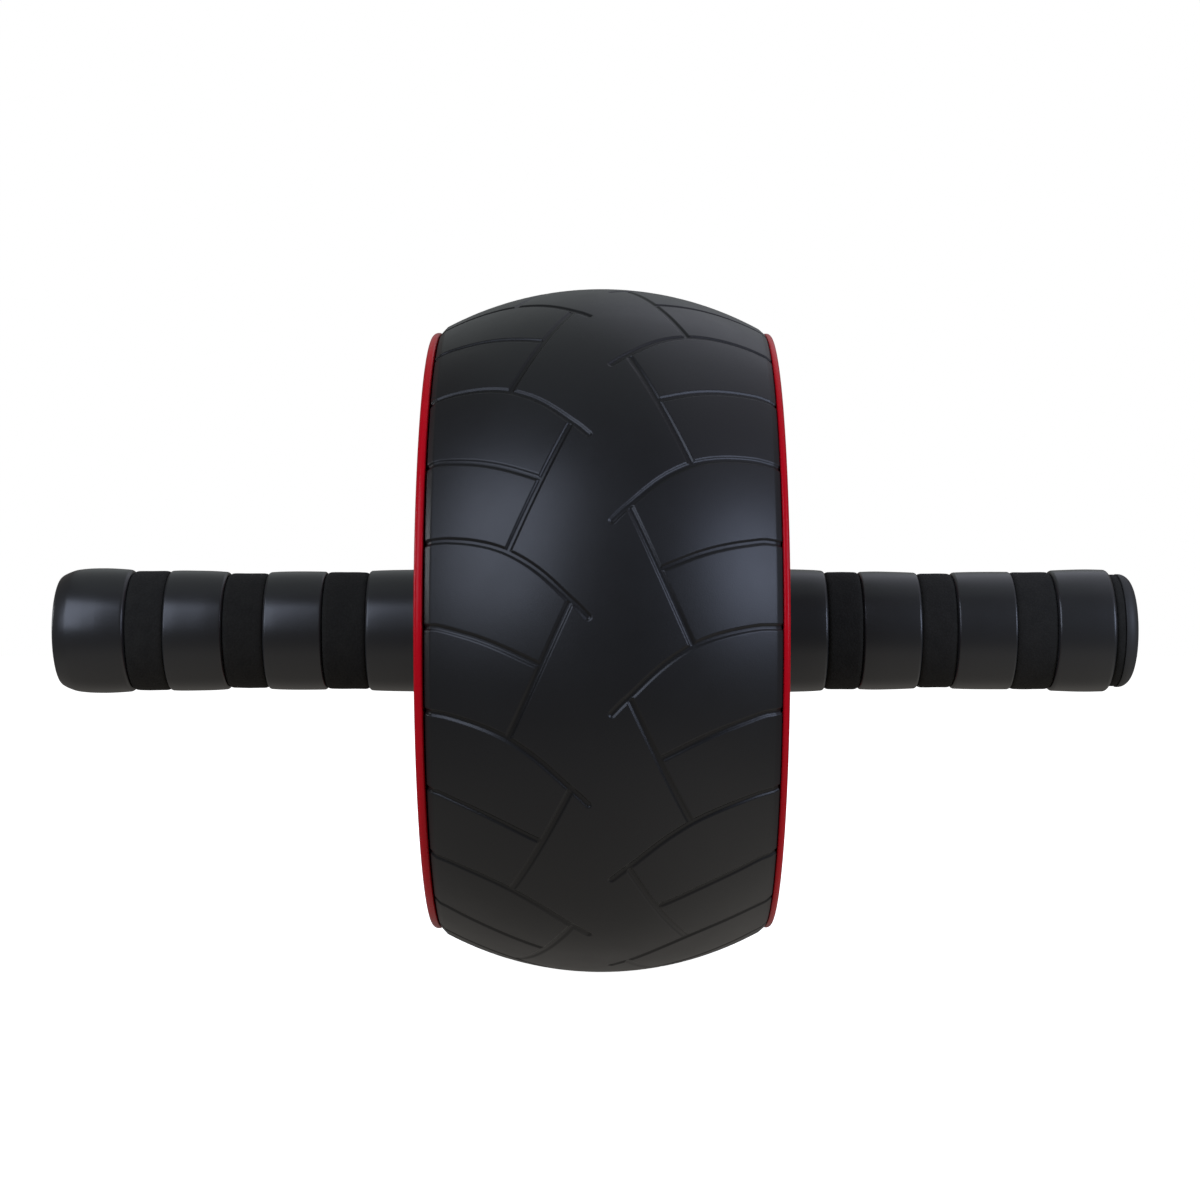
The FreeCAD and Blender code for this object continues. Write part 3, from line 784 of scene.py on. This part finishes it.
# ------------------------------------------------------------------------------------------------ camera
cam_data = bpy.data.cameras.new("camera")
cam = bpy.data.objects.new("camera", cam_data)
scene.collection.objects.link(cam)
cam.location = (0.678, 0.0, 0.0)
cam.rotation_euler = (math.radians(90), 0, math.radians(90))
cam_data.sensor_width = 36.0
cam_data.lens = 70.5
cam_data.shift_x = -0.00104
cam_data.shift_y = 0.0255
cam_data.clip_start = 0.02
scene.camera = cam

# ------------------------------------------------------------------------------------------------ floor, light
floor_me = bpy.data.meshes.new("floor")
floor_me.from_pydata([(-8, -8, 0), (8, -8, 0), (8, 8, 0), (-8, 8, 0)], [], [(0, 1, 2, 3)])
floor = bpy.data.objects.new("floor", floor_me)
floor.location = (0, 0, -0.0976)
scene.collection.objects.link(floor)
fm, nt, b, tc = material("floor_pale")
b.inputs["Base Color"].default_value = (0.8, 0.8, 0.8, 1)
b.inputs["Roughness"].default_value = 0.9
b.inputs["Emission Color"].default_value = (1, 1, 1, 1)
b.inputs["Emission Strength"].default_value = 1.0
fm.cycles.emission_sampling = "NONE"
floor_me.materials.append(fm)
floor.visible_glossy = False
floor.visible_diffuse = False


def softbox(name, az, el, dist, size, power, colour=(1, 1, 1)):
    """A square light aimed at the object. az turns from the camera's side (+X) towards +Y."""
    li = bpy.data.lights.new(name, "AREA")
    li.shape = "RECTANGLE"
    li.size, li.size_y = size
    li.energy = power
    li.color = colour
    ob = bpy.data.objects.new(name, li)
    a, e = math.radians(az), math.radians(el)
    ob.location = Vector((math.cos(e) * math.cos(a), math.cos(e) * math.sin(a), math.sin(e))) * dist
    ob.rotation_euler = (-ob.location).to_track_quat("-Z", "Y").to_euler()
    ob.visible_camera = False
    scene.collection.objects.link(ob)
    return ob


softbox("key", -36.0, 27.0, 2.0, (1.24, 1.70), 40.0, (0.645, 0.722, 0.92))
softbox("fill", 54.0, 16.0, 2.0, (1.05, 1.15), 31.0, (0.60, 0.685, 0.93))
softbox("back_right", 109.0, 56.0, 2.0, (3.90, 1.50), 9.3, (0.80, 0.80, 1.0))
softbox("back_top", 177.0, 64.0, 2.0, (2.00, 3.90), 6.6, (0.84, 0.96, 1.0))
softbox("side", -102.0, 11.5, 2.0, (0.35, 0.46), 5.8, (0.90, 0.94, 1.0))

world = bpy.data.worlds.new("world")
scene.world = world
world.use_nodes = True
wt = world.node_tree
wt.nodes.clear()
wo = wt.nodes.new("ShaderNodeOutputWorld")
mix = wt.nodes.new("ShaderNodeMixShader")
path = wt.nodes.new("ShaderNodeLightPath")
env = wt.nodes.new("ShaderNodeBackground")
env.inputs["Color"].default_value = (0.84, 0.80, 0.75, 1)
white = wt.nodes.new("ShaderNodeBackground")
white.inputs["Color"].default_value = (1, 1, 1, 1)
white.inputs["Strength"].default_value = 1.0
wtc = wt.nodes.new("ShaderNodeTexCoord")
sep = wt.nodes.new("ShaderNodeSeparateXYZ")
wt.links.new(wtc.outputs["Generated"], sep.inputs["Vector"])


def part_of_sky(axis, a, b, top):
    """Rises smoothly from 0 to top between two heights along an axis of the room."""
    n = wt.nodes.new("ShaderNodeMapRange")
    n.interpolation_type = "SMOOTHSTEP"
    for key, val in (("From Min", a), ("From Max", b), ("To Min", 0.0), ("To Max", top)):
        n.inputs[key].default_value = val
    wt.links.new(sep.outputs[axis], n.inputs["Value"])
    return n.outputs["Result"]


def both(one, other):
    """Where two parts of the sky meet."""
    n = wt.nodes.new("ShaderNodeMath")
    n.operation = "MULTIPLY"
    wt.links.new(one, n.inputs[0])
    wt.links.new(other, n.inputs[1])
    return n.outputs["Value"]


total = None
low = part_of_sky("Z", -0.30, -0.75, 1.0)
for piece in (part_of_sky("Z", 0.05, -0.5, 0.10), part_of_sky("Z", -0.40, -0.80, 0.19), part_of_sky("Y", 0.30, 0.95, 0.05),
              both(low, part_of_sky("X", -0.45, 0.15, 0.24)), both(low, part_of_sky("Y", 0.05, 0.50, 0.25))):
    add = wt.nodes.new("ShaderNodeMath")
    add.operation = "ADD"
    wt.links.new(piece, add.inputs[0])
    if total is None:
        add.inputs[1].default_value = 0.18  # the same dim light from every side
    else:
        wt.links.new(total, add.inputs[1])
    total = add.outputs["Value"]
wt.links.new(total, env.inputs["Strength"])
wt.links.new(path.outputs["Is Camera Ray"], mix.inputs["Fac"])
wt.links.new(env.outputs["Background"], mix.inputs[1])
wt.links.new(white.outputs["Background"], mix.inputs[2])
wt.links.new(mix.outputs["Shader"], wo.inputs["Surface"])

scene.view_settings.view_transform = "Standard"
